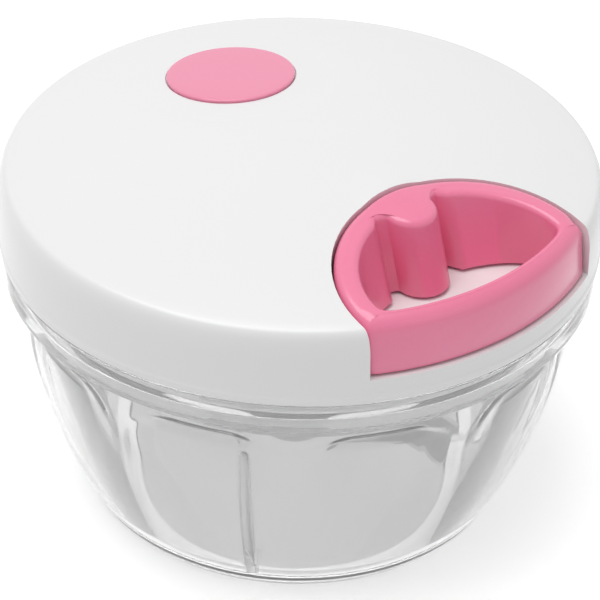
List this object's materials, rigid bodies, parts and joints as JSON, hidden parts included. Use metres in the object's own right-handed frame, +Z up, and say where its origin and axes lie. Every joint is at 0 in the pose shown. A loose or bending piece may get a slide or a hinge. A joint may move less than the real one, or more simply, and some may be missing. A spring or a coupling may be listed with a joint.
{
  "type": "pull-cord food chopper",
  "caption": "Hand-pulled food chopper: a clear faceted bowl with a bladed post under a domed white lid that holds a cord reel, with a pink pull handle set in its rim.",
  "frame": {"origin": "centre of the bowl's base, on the surface that it stands on", "axes": "+Z up along the blade post's axis; -Y is the way the handle pulls out; +X is to the right of the handle as one looks at it"},
  "size_m": [0.125, 0.125, 0.083],
  "materials": {
    "clear_bowl": "clear smooth plastic",
    "white_shell": "soft gloss",
    "white_base": "smooth",
    "white_post": "smooth",
    "pink_handle": "soft gloss",
    "pink_badge": "gloss",
    "grey_reel": "smooth",
    "grey_ratchet": "smooth",
    "silicone": "matt",
    "cord": "braided",
    "steel_pin": "turned",
    "clip_steel": "plain",
    "screw_steel": "zinc plated",
    "spring_steel": "blued strip",
    "blade_steel": "ground",
    "bush_brass": "turned"
  },
  "bodies": {
    "bowl": {"bowl": "clear_bowl", "pivot_pin": "steel_pin"},
    "seal": {"lid_seal": "silicone"},
    "lid": {"lid_cover": "white_shell", "lid_base": "white_base", "badge": "pink_badge", "cover_screw_1": "screw_steel", "cover_screw_2": "screw_steel", "cover_screw_3": "screw_steel", "drive_bush": "bush_brass", "spindle": "steel_pin", "spindle_clip": "clip_steel", "cord_eyelet": "clip_steel", "cord_lead": "cord"},
    "pull_handle": {"handle": "pink_handle", "handle_plug": "pink_handle", "cord_end": "cord", "cord_knot": "cord"},
    "cord_reel": {"reel": "grey_reel", "cord_winding": "cord", "recoil_spring": "spring_steel", "reel_cap": "grey_reel"},
    "first_pawl": {"pawl_1": "clip_steel"},
    "second_pawl": {"pawl_2": "clip_steel"},
    "drive": {"ratchet_wheel": "grey_ratchet", "drive_shaft": "steel_pin", "shaft_clip": "clip_steel"},
    "blade_set": {"blade_holder": "white_post", "blade_low": "blade_steel", "blade_middle": "blade_steel", "blade_top": "blade_steel"}
  },
  "joints": [
    {"name": "lid_lift", "type": "slide", "parent": "bowl", "child": "seal", "axis": [0, 0, 1], "range_m": [0, 0.09]},
    {"name": "lid_turn", "type": "hinge", "parent": "seal", "child": "lid", "pos_m": [0, 0, 0.0565], "axis": [0, 0, 1], "range_deg": [0, 20]},
    {"name": "handle_pull", "type": "slide", "parent": "lid", "child": "pull_handle", "axis": [0, -1, 0], "range_m": [0, 0.27], "stiffness_N_per_m": 12, "springref_m": -0.1},
    {"name": "reel_spin", "type": "hinge", "parent": "lid", "child": "cord_reel", "pos_m": [0, 0, 0.072], "axis": [0, 0, 1], "range_deg": [0, 870]},
    {"name": "pawl_1_lift", "type": "hinge", "parent": "cord_reel", "child": "first_pawl", "pos_m": [0.01733, 0.00306, 0.0649], "axis": [0, 0, -1], "range_deg": [0, 12], "stiffness_Nm_per_rad": 0.0006, "springref_deg": -17.19},
    {"name": "pawl_2_lift", "type": "hinge", "parent": "cord_reel", "child": "second_pawl", "pos_m": [-0.01733, -0.00306, 0.0649], "axis": [0, 0, -1], "range_deg": [0, 12], "stiffness_Nm_per_rad": 0.0006, "springref_deg": -17.19},
    {"name": "drive_spin", "type": "hinge", "parent": "lid", "child": "drive", "pos_m": [0, 0, 0.0585], "axis": [0, 0, 1], "range_deg": [0, 870]},
    {"name": "blade_spin", "type": "hinge", "parent": "bowl", "child": "blade_set", "pos_m": [0, 0, 0.01], "axis": [0, 0, 1], "range_deg": [0, 870]}
  ],
  "couplings": [
    {"joint": "reel_spin", "follows": "handle_pull", "rad_per_m": 53.763},
    {"joint": "drive_spin", "follows": "handle_pull", "rad_per_m": 53.763},
    {"joint": "blade_spin", "follows": "handle_pull", "rad_per_m": 53.763}
  ]
}
